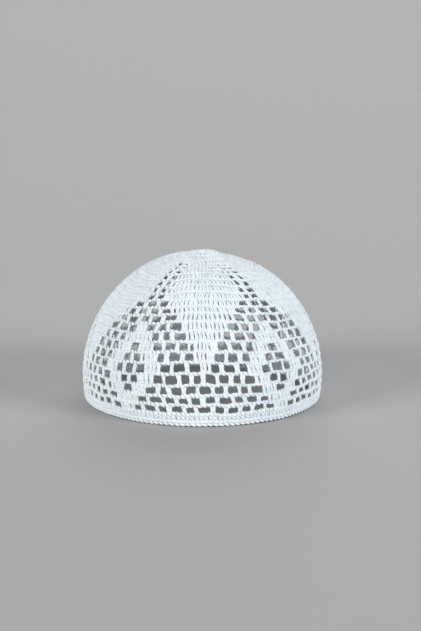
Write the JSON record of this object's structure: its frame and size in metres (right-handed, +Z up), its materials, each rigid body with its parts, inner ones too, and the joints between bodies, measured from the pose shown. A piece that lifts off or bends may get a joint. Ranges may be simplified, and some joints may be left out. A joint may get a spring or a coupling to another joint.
{
  "type": "crocheted taqiyah skull cap",
  "caption": "Round-topped skull cap of white crocheted cotton, with solid petals, an openwork net and a close beaded rim.",
  "frame": {"origin": "centre of the cap's bounding box on the plane its rim rests on", "axes": "+Z up through the crown, -Y towards the front petal, X across the head from side to side"},
  "size_m": [0.176, 0.197, 0.11],
  "materials": {
    "white_crochet_cotton": "matte white crocheted cotton yarn, faintly cool in the shadows"
  },
  "bodies": {
    "root": {"cap": "white_crochet_cotton"}
  },
  "joints": []
}
